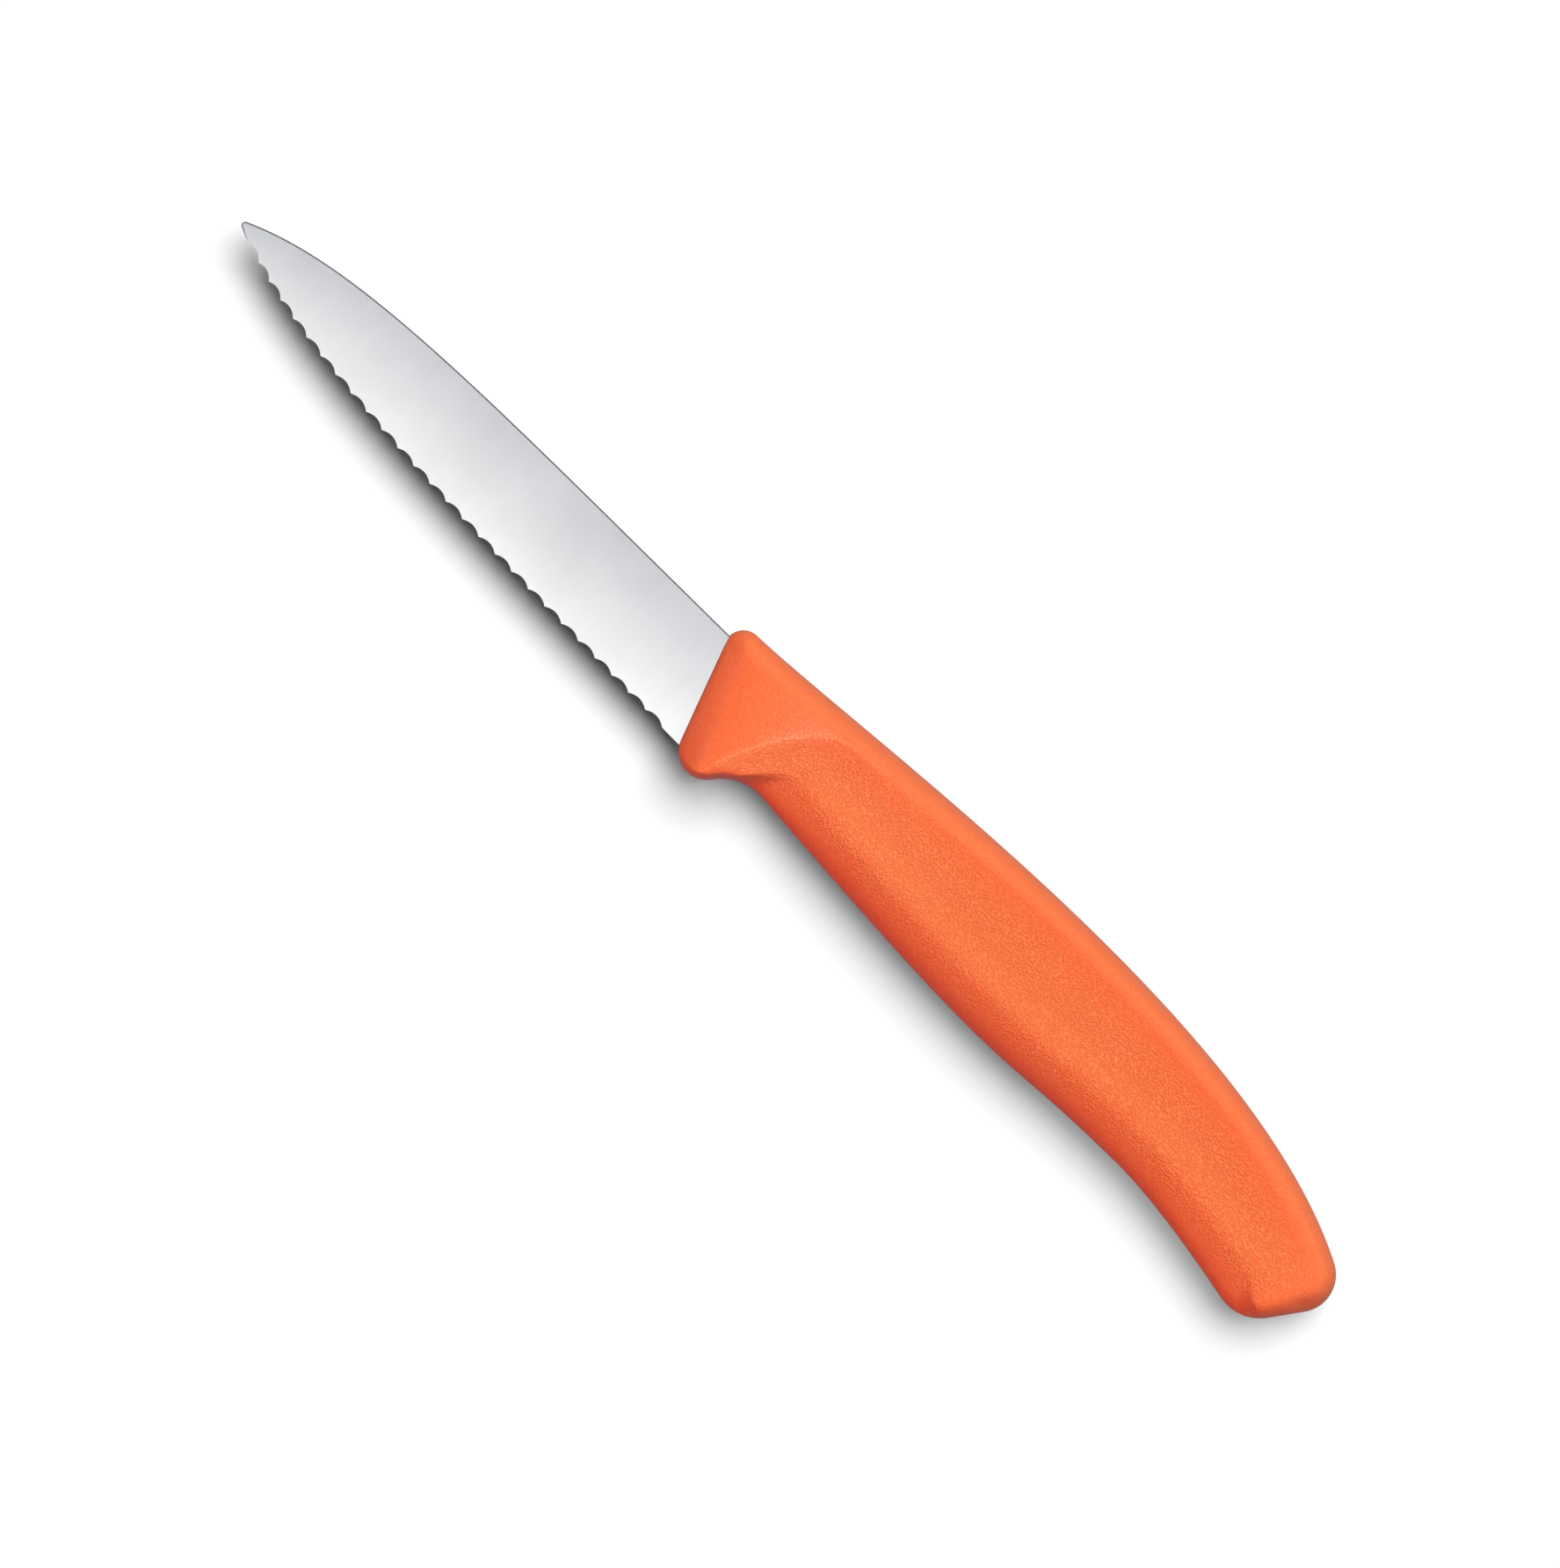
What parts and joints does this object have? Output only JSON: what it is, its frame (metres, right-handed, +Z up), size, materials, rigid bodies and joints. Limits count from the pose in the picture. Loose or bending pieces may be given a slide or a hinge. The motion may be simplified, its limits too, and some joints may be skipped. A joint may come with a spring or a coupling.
{
  "type": "serrated paring knife",
  "caption": "Small kitchen knife with a pointed steel blade, a fine scalloped edge and an orange moulded handle with a finger guard and a dished grip.",
  "frame": {"origin": "under the middle of the knife's box, on the surface that it lies on with its plain face up", "axes": "+X along the knife from tip to butt, +Y from the cutting edge to the spine, +Z up out of the blade's plain face"},
  "size_m": [0.1864, 0.021, 0.0123],
  "materials": {
    "blade_steel": "fine satin polish",
    "handle_plastic": "fine moulded grain"
  },
  "bodies": {
    "root": {"blade": "blade_steel", "handle": "handle_plastic"}
  },
  "joints": []
}
